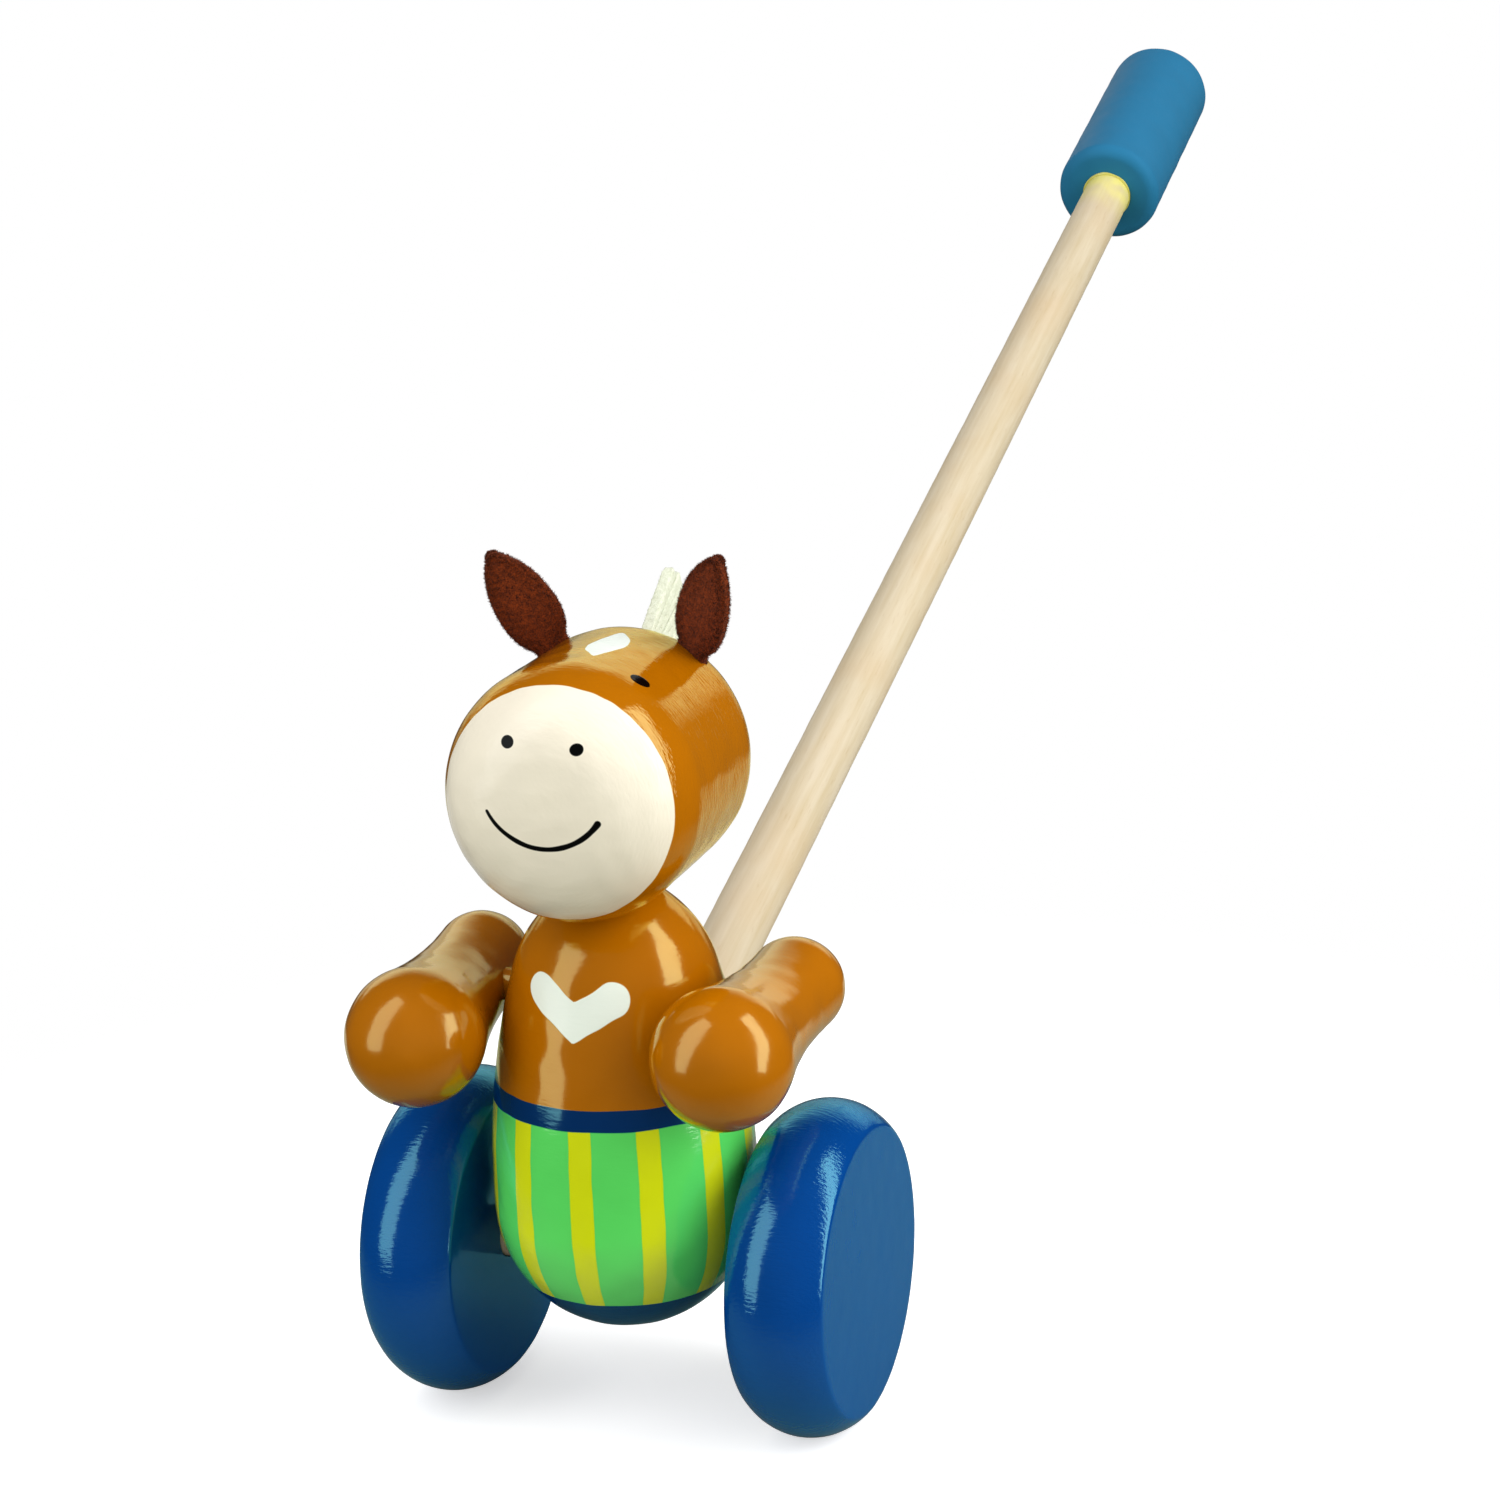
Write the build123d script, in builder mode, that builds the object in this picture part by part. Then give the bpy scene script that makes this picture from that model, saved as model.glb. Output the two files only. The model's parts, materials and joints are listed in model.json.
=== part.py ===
"""Wooden push-along pony on two wheels, with swinging arms and a push stick.

Millimetres, +Z up. The origin is on the floor under the middle of the wheel axle, the pony looks
along -Y and the push stick leans back towards +Y. The pony's left side is +X.
"""

import os
from math import asin, atan2, cos, degrees, radians, sin, sqrt

from build123d import *

# Fits
glue_fit = 0.05        # radial room for glue round a dowel that is glued into its hole
running_fit = 0.08     # radial room round an axle that turns in the torso
felt_fit = 0.1         # room on each side of a felt edge in its saw cut

# Wheels and their axle
wheel_diameter = 80.0
wheel_width = 24.0
wheel_face_diameter = 69.0
wheel_edge_round = 0.8
wheel_belly_gap = 3.0        # between a wheel's inner face and the widest part of the torso
wheel_axle_diameter = 12.0
wheel_socket_depth = 15.0
dowel_chamfer = 0.8

# Torso, a turned peg with a round bottom and sloping shoulders
belly_diameter = 63.0
belly_straight = 5.2
shoulder_diameter = 48.4
shoulder_height = 88.7       # above the torso's lowest point
torso_height = 106.9         # from the lowest point to the flat neck seat
neck_seat_diameter = 21.0
axle_above_foot = 14.7
axle_behind_torso = 6.8      # the wheel axle passes behind the torso's own axis

# Head, a turned barrel that lies along the pony's nose
head_diameter = 60.0
head_length = 72.9
head_reach = 40.3            # from the neck dowel forward to the nose
head_end_radius = 95.0       # gentle dome on both ends
nose_corner_radius = 20.5
nape_corner_radius = 17.0
head_turn = 3.2              # degrees, glued a little towards the pony's left
neck_flat = 1.0              # depth of the flat under the head
neck_dowel_diameter = 10.0
neck_dowel_depth = 15.0      # into each of the two pieces

# Felt ears and mane
felt_thickness = 3.0
ear_length = 31.9
ear_width = 14.2
ear_widest_share = 0.43      # share of the length where the ear is widest
ear_tip_radius = 2.0
ear_root_width = 8.4
ear_root_rise = 2.0          # straight part of the root above the head's surface
ear_tab_depth = 5.0          # below the ear's root point, in the saw cut
ear_round_head_angle = 36.0  # degrees from the top of the head to the ear's root
ear_behind_neck = 17.2
ear_sunk = 2.5               # root below the head's surface
ear_splay_angle = 23.3       # degrees outwards
ear_lean_angle = 21.5        # degrees forwards
ear_twist_angle = 20.0       # degrees, outer edge forwards
mane_depth = 31.0            # longest lock, from the head's surface
mane_end_depth = 24.5        # shortest lock
mane_root = 4.0              # depth of the saw cut
mane_front_angle = 146.0     # degrees round the nape from straight ahead
mane_back_angle = 206.0
mane_locks = 14
mane_notch = 10.0            # depth of the slits between the locks

# Arms, turned pegs with a round hand, on one axle through the shoulders
hand_radius = 16.4
shoulder_end_radius = 11.9
arm_waist_radius = 120.0     # hollow curve between the two round ends
hand_reach = 30.1            # from the shoulder axle to the hand's centre
arm_tail = 11.8              # from the shoulder axle to the centre of the rear end
arm_torso_gap = 1.6
arm_toe_in = 3.0             # degrees
left_arm_droop = 4.2         # degrees below level, as glued on the axle
right_arm_droop = 7.1
shoulder_axle_diameter = 8.0
shoulder_axle_above_foot = 81.4
shoulder_socket_past_skin = 12.0

# Push stick and its grip
stick_diameter = 16.0
stick_length = 568.0
stick_lean = 68.8            # degrees from upright
stick_above_foot = 41.6      # where the stick's axis meets the torso's axis
stick_chamfer = 1.0
grip_diameter = 36.0
grip_length = 88.0
grip_socket_depth = 63.5
grip_edge_round = 4.0
grip_mouth_chamfer = 0.5

# Heights and places worked out from the sizes above
axle_z = wheel_diameter / 2
foot_z = axle_z - axle_above_foot
torso_y = -axle_behind_torso
belly_radius = belly_diameter / 2
shoulder_radius = shoulder_diameter / 2
bowl_z = foot_z + belly_radius
taper_z = bowl_z + belly_straight
shoulder_z = foot_z + shoulder_height
neck_z = foot_z + torso_height
shoulder_axle_z = foot_z + shoulder_axle_above_foot
wheel_x = belly_radius + wheel_belly_gap + wheel_width / 2
head_radius = head_diameter / 2
head_z = neck_z + head_radius - neck_flat


def flank_radius(height):
    """Radius of the torso on the long curve between belly and shoulder."""
    inset = belly_radius - shoulder_radius
    rise = shoulder_z - taper_z
    curve = (inset**2 + rise**2) / (2 * inset)
    return belly_radius - curve + sqrt(curve**2 - (height - taper_z) ** 2)


def bore_along_x(radius, y, z, start, end):
    """Cut a round hole along X from start to end."""
    with BuildSketch(Plane.YZ.offset(start)) as hole:
        with Locations((y, z)):
            Circle(radius)
    extrude(hole.sketch, amount=end - start, mode=Mode.SUBTRACT)


def finish(piece, name):
    """Name a piece and write its file."""
    piece.part.label = name
    export_step(piece.part, f"parts/{name}.step")


os.makedirs("parts", exist_ok=True)

# Stick frame: origin where the stick's axis meets the torso's axis, Z along the stick
stick_plane = Plane(
    origin=(0, torso_y, foot_z + stick_above_foot),
    x_dir=(1, 0, 0),
    z_dir=(0, sin(radians(stick_lean)), cos(radians(stick_lean))),
)

# Head frame: origin on the neck axis at the height of the barrel's axis, turned with the head
head_place = Location((0, torso_y, head_z), (0, 0, head_turn))


def on_head(plane):
    """Carry a plane from the head's own frame to where the head is."""
    return Plane(head_place * plane.location)


# Drawing planes of the head, X towards the nose: one level, one upright down the middle
head_level = on_head(Plane(origin=(0, 0, 0), x_dir=(0, -1, 0), z_dir=(0, 0, 1)))
head_middle = on_head(Plane(origin=(0, 0, 0), x_dir=(0, -1, 0), z_dir=(-1, 0, 0)))

# Centre of the round nape corner in either plane, touching the barrel's side and its rear dome
nape_radius = min(nape_corner_radius, 0.9 * head_radius)
nose_radius = min(nose_corner_radius, 0.9 * head_radius)
rear_dome_x = head_reach - head_length + head_end_radius
nape_y = head_radius - nape_radius
nape_x = rear_dome_x - sqrt((head_end_radius - nape_radius) ** 2 - nape_y**2)


# Turned torso with the holes for the neck dowel, both axles and the push stick
with BuildPart() as torso:
    with BuildSketch(Plane.XZ.offset(-torso_y)):
        with BuildLine():
            bowl = CenterArc((0, bowl_z), belly_radius, -90, 90)
            waistband = Line(bowl @ 1, (belly_radius, taper_z))
            flank = TangentArc(waistband @ 1, (shoulder_radius, shoulder_z), tangent=(0, 1))
            dome = TangentArc(flank @ 1, (neck_seat_diameter / 2, neck_z), tangent=flank % 1)
            Polyline(dome @ 1, (0, neck_z), bowl @ 0)
        make_face()
    revolve(axis=Axis((0, torso_y, 0), (0, 0, 1)))
    bore_along_x(wheel_axle_diameter / 2 + running_fit, 0, axle_z, -belly_radius, belly_radius)
    bore_along_x(
        shoulder_axle_diameter / 2 + running_fit, torso_y, shoulder_axle_z, -belly_radius, belly_radius
    )
    with BuildSketch(Plane.XY.offset(neck_z)):
        with Locations((0, torso_y)):
            Circle(neck_dowel_diameter / 2 + glue_fit)
    extrude(amount=-neck_dowel_depth, mode=Mode.SUBTRACT)
    with BuildSketch(stick_plane):
        Circle(stick_diameter / 2 + glue_fit)
    extrude(amount=belly_diameter, mode=Mode.SUBTRACT)
finish(torso, "torso")

# Neck dowel, glued half into the torso and half into the head
with BuildPart() as neck_dowel:
    with BuildSketch(Plane.XY.offset(neck_z - neck_dowel_depth)):
        with Locations((0, torso_y)):
            Circle(neck_dowel_diameter / 2)
    extrude(amount=2 * neck_dowel_depth)
    chamfer(neck_dowel.edges().filter_by(GeomType.CIRCLE), dowel_chamfer)
finish(neck_dowel, "neck_dowel")


def ear_plane(side):
    """Plane of one ear: origin at its root, Y along the ear to its tip, X across it."""
    reach = head_radius - ear_sunk
    round_head = radians(ear_round_head_angle)
    root = Vector(reach * sin(round_head), ear_behind_neck, reach * cos(round_head))
    splay, lean, twist = [radians(a) for a in (ear_splay_angle, ear_lean_angle, ear_twist_angle)]
    along = Vector(sin(splay) * cos(lean), -sin(lean), cos(splay) * cos(lean))
    level = Vector(0, -1, 0).cross(along).normalized()
    across = level * cos(twist) - along.cross(level) * sin(twist)
    root, along, across = [Vector(side * v.X, v.Y, v.Z) for v in (root, along, across)]
    return on_head(Plane(origin=root, x_dir=across, z_dir=across.cross(along)))


def draw_ear():
    """Leaf with a blunt tip on a straight root that goes down into the saw cut."""
    half = ear_width / 2
    root = ear_root_width / 2
    root_top = ear_sunk + ear_root_rise
    widest = ear_widest_share * ear_length
    tip_side = ear_length - widest
    with BuildLine() as leaf:
        foot = Polyline((0, -ear_tab_depth), (root, -ear_tab_depth), (root, root_top))
        swell = Bezier(foot @ 1, (0.85 * half, 0.5 * widest), (half, 0.7 * widest), (half, widest))
        Bezier(
            swell @ 1,
            (half, widest + 0.44 * tip_side),
            (0.62 * half, widest + 0.77 * tip_side),
            (0, ear_length),
        )
        mirror(leaf.line, about=Plane.YZ)
    outline = make_face(leaf.edges())
    fillet(outline.vertices().sort_by(Axis.Y)[-1], ear_tip_radius)


def draw_mane_band(inner, outer, spread):
    """Ring sector round the nape corner, from the inner to the outer radius."""
    first = mane_front_angle - spread
    sweep = mane_back_angle - mane_front_angle + 2 * spread
    with BuildLine() as band:
        inner_arc = CenterArc((nape_x, nape_y), inner, first, sweep)
        outer_arc = CenterArc((nape_x, nape_y), outer, first, sweep)
        Line(inner_arc @ 0, outer_arc @ 0)
        Line(inner_arc @ 1, outer_arc @ 1)
    make_face(band.edges())


mane_inner = nape_radius - mane_root


# Turned barrel head with its neck flat, dowel hole and the saw cuts for ears and mane
with BuildPart() as head:
    with BuildSketch(head_level) as barrel:
        nose_dome_x = head_reach - head_end_radius
        end_angle = degrees(asin(head_radius / head_end_radius))
        with BuildLine():
            nose = CenterArc((nose_dome_x, 0), head_end_radius, 0, end_angle)
            nape = CenterArc((rear_dome_x, 0), head_end_radius, 180 - end_angle, end_angle)
            Line(nose @ 1, nape @ 0)
            Line(nape @ 1, nose @ 0)
        make_face()
        top_corners = barrel.vertices().group_by(Axis.Y)[-1]
        fillet(top_corners.sort_by(Axis.X)[-1], nose_radius)
        fillet(barrel.vertices().sort_by(Axis.X).group_by(Axis.Y)[-1][0], nape_radius)
    revolve(axis=Axis(head_level.origin, head_level.x_dir))
    split(bisect_by=Plane.XY.offset(neck_z), keep=Keep.TOP)
    with BuildSketch(Plane.XY.offset(neck_z)):
        with Locations((0, torso_y)):
            Circle(neck_dowel_diameter / 2 + glue_fit)
    extrude(amount=neck_dowel_depth, mode=Mode.SUBTRACT)
    for side in (1, -1):
        with BuildSketch(ear_plane(side)):
            with Locations((0, -ear_tab_depth - felt_fit)):
                Rectangle(ear_root_width + 2 * felt_fit, ear_length, align=(Align.CENTER, Align.MIN))
        extrude(amount=felt_thickness / 2 + felt_fit, both=True, mode=Mode.SUBTRACT)
    with BuildSketch(head_middle):
        draw_mane_band(mane_inner - felt_fit, head_radius, degrees(felt_fit / mane_inner))
    extrude(amount=felt_thickness / 2 + felt_fit, both=True, mode=Mode.SUBTRACT)
finish(head, "head")

# Felt ears, cut from sheet and glued upright into the saw cuts
for name, side in (("left_ear", 1), ("right_ear", -1)):
    with BuildPart() as ear:
        with BuildSketch(ear_plane(side)):
            draw_ear()
        extrude(amount=felt_thickness / 2, both=True)
    finish(ear, name)


def mane_point(angle, depth):
    """Point of the mane at an angle round the nape and a height above the head's surface."""
    reach = nape_radius + depth
    return (nape_x + reach * cos(radians(angle)), nape_y + reach * sin(radians(angle)))


def draw_mane_locks():
    """Fan of square-ended locks round the nape, longest in the middle, with slits between."""
    middle = (mane_front_angle + mane_back_angle) / 2
    half_spread = (mane_back_angle - mane_front_angle) / 2
    step = (mane_back_angle - mane_front_angle) / mane_locks
    points = [mane_point(mane_front_angle, 0)]
    for lock in range(mane_locks):
        start = mane_front_angle + lock * step
        centre = start + step / 2
        depth = mane_depth - (mane_depth - mane_end_depth) * ((centre - middle) / half_spread) ** 4
        points.append(mane_point(start + 0.1 * step, depth))
        points.append(mane_point(start + 0.9 * step, depth))
        points.append(mane_point(start + step, depth - mane_notch))
    points.append(mane_point(mane_back_angle, 0))
    with BuildLine() as locks:
        jagged = Polyline(*points)
        root = CenterArc((nape_x, nape_y), mane_inner, mane_front_angle, mane_back_angle - mane_front_angle)
        Line(root @ 0, jagged @ 0)
        Line(root @ 1, jagged @ 1)
    make_face(locks.edges())


# Felt mane, a fringed strip that stands in a saw cut round the nape of the head
with BuildPart() as mane:
    with BuildSketch(head_middle):
        draw_mane_locks()
    extrude(amount=felt_thickness / 2, both=True)
finish(mane, "mane")

# Arms: two round ends joined by a hollow curve that touches both
arm_centres = hand_reach + arm_tail
to_hand = hand_radius + arm_waist_radius
to_tail = shoulder_end_radius + arm_waist_radius
waist_from_hand = (to_hand**2 - to_tail**2 + arm_centres**2) / (2 * arm_centres)
waist_out = sqrt(to_hand**2 - waist_from_hand**2)
waist_x = hand_reach - waist_from_hand
arm_radius_at_axle = waist_out - sqrt(arm_waist_radius**2 - waist_x**2)
arm_x = flank_radius(shoulder_axle_z) + arm_torso_gap + arm_radius_at_axle
shoulder_axle_half = flank_radius(shoulder_axle_z) + arm_torso_gap + shoulder_socket_past_skin


def arm_plane(side, droop):
    """Plane of one arm: origin on the shoulder axle, X along the arm towards the hand."""
    toe, fall = radians(arm_toe_in), radians(droop)
    along = Vector(-side * sin(toe) * cos(fall), -cos(toe) * cos(fall), -sin(fall))
    up = Vector(-side * sin(toe) * sin(fall), -cos(toe) * sin(fall), cos(fall))
    return Plane(origin=(side * arm_x, torso_y, shoulder_axle_z), x_dir=along, z_dir=along.cross(up))


hand_angle = degrees(atan2(waist_out, -waist_from_hand))
tail_angle = degrees(atan2(waist_out, waist_x + arm_tail))
waist_start = degrees(atan2(-waist_out, waist_from_hand))
waist_end = degrees(atan2(-waist_out, -(waist_x + arm_tail)))
for name, side, droop in (("left_arm", 1, left_arm_droop), ("right_arm", -1, right_arm_droop)):
    plane = arm_plane(side, droop)
    with BuildPart() as arm:
        with BuildSketch(plane):
            with BuildLine():
                hand = CenterArc((hand_reach, 0), hand_radius, 0, hand_angle)
                CenterArc((waist_x, waist_out), arm_waist_radius, waist_start, waist_end - waist_start)
                tail = CenterArc((-arm_tail, 0), shoulder_end_radius, tail_angle, 180 - tail_angle)
                Line(tail @ 1, hand @ 0)
            make_face()
        revolve(axis=Axis(plane.origin, plane.x_dir))
        with BuildSketch(Plane.YZ):
            with Locations((torso_y, shoulder_axle_z)):
                Circle(shoulder_axle_diameter / 2 + glue_fit)
        extrude(amount=side * shoulder_axle_half, mode=Mode.SUBTRACT)
    finish(arm, name)

# Shoulder axle, glued into both arms and turning in the torso
with BuildPart() as shoulder_axle:
    with BuildSketch(Plane.YZ):
        with Locations((torso_y, shoulder_axle_z)):
            Circle(shoulder_axle_diameter / 2)
    extrude(amount=shoulder_axle_half, both=True)
    chamfer(shoulder_axle.edges().filter_by(GeomType.CIRCLE), dowel_chamfer)
finish(shoulder_axle, "shoulder_axle")

# Wheels: crowned treads, flat faces and a blind hole for the axle in the inner face
wheel_inner_x = wheel_x - wheel_width / 2
wheel_axle_half = wheel_inner_x + wheel_socket_depth
for name, side in (("left_wheel", 1), ("right_wheel", -1)):
    with BuildPart() as wheel:
        with BuildSketch(Plane.XZ):
            with BuildLine():
                inner_edge = (side * wheel_inner_x, axle_z + wheel_face_diameter / 2)
                outer_edge = (side * (wheel_inner_x + wheel_width), axle_z + wheel_face_diameter / 2)
                ThreePointArc(inner_edge, (side * wheel_x, wheel_diameter), outer_edge)
                Polyline(outer_edge, (outer_edge[0], axle_z), (inner_edge[0], axle_z), inner_edge)
            make_face()
        revolve(axis=Axis((0, 0, axle_z), (1, 0, 0)))
        fillet(wheel.edges().filter_by(GeomType.CIRCLE), wheel_edge_round)
        with BuildSketch(Plane.YZ):
            with Locations((0, axle_z)):
                Circle(wheel_axle_diameter / 2 + glue_fit)
        extrude(amount=side * wheel_axle_half, mode=Mode.SUBTRACT)
    finish(wheel, name)

# Wheel axle, glued into both wheels and turning in the torso
with BuildPart() as wheel_axle:
    with BuildSketch(Plane.YZ):
        with Locations((0, axle_z)):
            Circle(wheel_axle_diameter / 2)
    extrude(amount=wheel_axle_half, both=True)
    chamfer(wheel_axle.edges().filter_by(GeomType.CIRCLE), dowel_chamfer)
finish(wheel_axle, "wheel_axle")

# Push stick, a plain dowel from the floor of the torso's socket to the grip
with BuildPart() as push_stick:
    with BuildSketch(stick_plane):
        Circle(stick_diameter / 2)
    extrude(amount=stick_length)
    chamfer(push_stick.edges().filter_by(GeomType.CIRCLE), stick_chamfer)
finish(push_stick, "push_stick")

# Turned grip with a blind hole that the stick ends in
with BuildPart() as handle_grip:
    with BuildSketch(stick_plane.offset(stick_length - grip_socket_depth)):
        Circle(grip_diameter / 2)
    extrude(amount=grip_length)
    fillet(handle_grip.edges().filter_by(GeomType.CIRCLE), grip_edge_round)
    with BuildSketch(stick_plane.offset(stick_length - grip_socket_depth)):
        Circle(stick_diameter / 2 + glue_fit)
    extrude(amount=grip_socket_depth, mode=Mode.SUBTRACT)
    socket_edges = handle_grip.edges(Select.LAST).filter_by(GeomType.CIRCLE)
    chamfer(socket_edges.sort_by(Axis.Z)[0], grip_mouth_chamfer)
finish(handle_grip, "handle_grip")
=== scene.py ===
"""Looks of a wooden push-along pony: lacquered turned wood, felt ears and mane, a bare push stick.

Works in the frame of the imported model: metres, +Z up, the pony looks along -Y, its left is +X.
Sizes below are in millimetres unless a comment says otherwise, and each mesh is written in metres.
"""

import json

import bpy
import numpy as np
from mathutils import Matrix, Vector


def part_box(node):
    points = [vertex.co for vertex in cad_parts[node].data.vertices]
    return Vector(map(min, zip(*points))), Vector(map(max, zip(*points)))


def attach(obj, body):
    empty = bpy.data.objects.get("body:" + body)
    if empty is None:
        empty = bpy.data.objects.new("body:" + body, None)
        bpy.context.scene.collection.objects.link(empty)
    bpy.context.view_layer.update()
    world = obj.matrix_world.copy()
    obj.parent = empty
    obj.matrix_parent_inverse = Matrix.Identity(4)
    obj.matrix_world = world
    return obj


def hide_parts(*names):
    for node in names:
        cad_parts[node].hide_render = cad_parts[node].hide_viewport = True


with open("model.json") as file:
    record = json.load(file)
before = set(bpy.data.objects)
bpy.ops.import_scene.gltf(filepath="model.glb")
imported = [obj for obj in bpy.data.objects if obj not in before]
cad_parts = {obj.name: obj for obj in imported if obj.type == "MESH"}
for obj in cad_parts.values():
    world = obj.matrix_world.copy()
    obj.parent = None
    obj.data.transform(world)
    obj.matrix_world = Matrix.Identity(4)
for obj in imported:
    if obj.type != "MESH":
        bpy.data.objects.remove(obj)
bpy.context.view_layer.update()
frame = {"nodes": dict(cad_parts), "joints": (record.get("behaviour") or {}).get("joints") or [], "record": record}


# Wheels: two discs turned from solid wood and dipped in navy gloss lacquer. The treads are crowned
# and the faces flat. Each inner face has a blind hole that the axle dowel is glued into.
def box_mm(node):
    """Lowest and highest corner of a CAD node, in millimetres."""
    low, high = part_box(node)
    return 1000 * np.array(low), 1000 * np.array(high)


def arc(centre, radius, start, end):
    """Round stretch of a profile: points (along, out) about a centre, from start to end in degrees."""
    turn = np.radians(np.linspace(start, end, 120))
    return np.stack([centre[0] + radius * np.cos(turn), centre[1] + radius * np.sin(turn)], 1)


def soften(stretches, rounding, ring_gap):
    """Join stretches of a profile and round its corners, as thick lacquer does.

    The joined line is stepped every 0.05 mm and averaged under a bell of the given width. Its rings
    are then spread so that each covers ring_gap of length or 4 degrees of turning.
    """
    step, ring_turn = 0.05, np.radians(4)
    line = np.vstack(stretches)
    run = np.r_[0, np.cumsum(np.hypot(*np.diff(line, axis=0).T))]
    keep = np.r_[True, np.diff(run) > 1e-9]
    steps = np.linspace(0, run[-1], int(run[-1] / step) + 1)
    fine = np.stack([np.interp(steps, run[keep], line[keep, k]) for k in (0, 1)], 1)
    reach = max(int(3 * rounding / step), 1)
    bell = np.exp(-0.5 * (np.arange(-reach, reach + 1) * step / rounding) ** 2)
    padded = np.pad(fine, ((reach, reach), (0, 0)), mode="reflect", reflect_type="odd")
    eased = np.stack([np.convolve(padded[:, k], bell / bell.sum(), "valid") for k in (0, 1)], 1)
    heading = np.unwrap(np.arctan2(*np.gradient(eased, axis=0).T))
    effort = np.cumsum(step / ring_gap + np.abs(np.gradient(heading)) / ring_turn)
    rings = np.linspace(effort[0], effort[-1], int(effort[-1] - effort[0]) + 2)
    return np.stack([np.interp(rings, effort, eased[:, k]) for k in (0, 1)], 1)


def ripple(points, wavelength, seed):
    """Smooth noise of about unit height: 24 plane waves in random directions, added up."""
    count = 24
    dice = np.random.default_rng(seed)
    waves = dice.normal(size=(3, count))
    waves *= 2 * np.pi / wavelength * dice.uniform(0.6, 1.6, count) / np.linalg.norm(waves, axis=0)
    return np.sin(points @ waves + dice.uniform(0, 2 * np.pi, count)).sum(1) / np.sqrt(count / 2)


def mesh_piece(name, points, faces):
    """Smooth-shaded piece from points in millimetres and faces given as rows of corner numbers."""
    mesh = bpy.data.meshes.new(name)
    mesh.from_pydata(0.001 * points, [], [face for rows in faces for face in rows.tolist()])
    mesh.shade_smooth()
    piece = bpy.data.objects.new(name, mesh)
    bpy.context.scene.collection.objects.link(piece)
    return piece


def closed_skin(rows, corners):
    """Faces of a skin over rows of corners, with a fan to one more point at either end."""
    number = np.arange(rows * corners).reshape(rows, corners)
    after = np.roll(number, -1, 1)
    quads = np.stack([number[:-1], after[:-1], after[1:], number[1:]], -1).reshape(-1, 4)
    first, last = rows * corners, rows * corners + 1
    start_fan = np.stack([np.full(corners, first), after[0], number[0]], 1)
    end_fan = np.stack([np.full(corners, last), number[-1], after[-1]], 1)
    return [quads, start_fan, end_fan]


def turned(name, profile, origin, axis, facets, wave=0.03, seed=1):
    """Turned piece: the profile (along, out) carried round an axis, from one closed end to the other.

    A point is origin + along * axis + out * (cos t * side + sin t * up), and is then moved by wave
    times a ripple of 9 mm, because no lacquered surface is quite true.
    """
    axis = np.array(axis, float) / np.linalg.norm(axis)
    side = np.cross(axis, [0, 0, 1] if abs(axis[2]) < 0.9 else [0, 1, 0])
    side /= np.linalg.norm(side)
    turn = np.linspace(0, 2 * np.pi, facets, endpoint=False)
    spokes = np.cos(turn)[:, None] * side + np.sin(turn)[:, None] * np.cross(axis, side)
    slope = np.gradient(profile, axis=0)
    slope /= np.linalg.norm(slope, axis=1)[:, None]
    rings = profile[1:-1, 0, None, None] * axis + profile[1:-1, 1, None, None] * spokes
    outward = slope[1:-1, 0, None, None] * spokes - slope[1:-1, 1, None, None] * axis
    rings = (rings + origin).reshape(-1, 3)
    rings += wave * ripple(rings, wavelength=9, seed=seed)[:, None] * outward.reshape(-1, 3)
    ends = origin + profile[[0, -1], 0, None] * axis
    return mesh_piece(name, np.vstack([rings, ends]), closed_skin(len(profile) - 2, facets))


def points_of(piece):
    """The piece's points, in millimetres, one row each."""
    flat = np.empty(3 * len(piece.data.vertices))
    piece.data.vertices.foreach_get("co", flat)
    return 1000 * flat.reshape(-1, 3)


def keep_on_points(piece, name, values):
    """Keep one number on each point, as an attribute that materials can read."""
    held = piece.data.attributes.new(name, "FLOAT", "POINT")
    held.data.foreach_set("value", values.astype(np.float32))


def linear(hex_colour):
    """Linear red, green, blue and alpha of an sRGB hex colour."""
    srgb = np.array([int(hex_colour[k : k + 2], 16) for k in (1, 3, 5)]) / 255
    low = srgb / 12.92
    high = ((srgb + 0.055) / 1.055) ** 2.4
    return (*np.where(srgb <= 0.04045, low, high).tolist(), 1.0)


def add(tree, kind, inputs=(), **settings):
    """Add a node, set its properties, and fill its inputs with values or with sockets to link."""
    node = tree.nodes.new("ShaderNode" + kind)
    for name, value in settings.items():
        setattr(node, name, value)
    for key, value in dict(inputs).items():
        if isinstance(value, bpy.types.NodeSocket):
            tree.links.new(value, node.inputs[key])
        else:
            node.inputs[key].default_value = value
    return node


def new_material(name):
    """A fresh material, with its node tree and its shader."""
    material = bpy.data.materials.new(name)
    material.use_nodes = True
    return material, material.node_tree, material.node_tree.nodes["Principled BSDF"]


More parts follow.
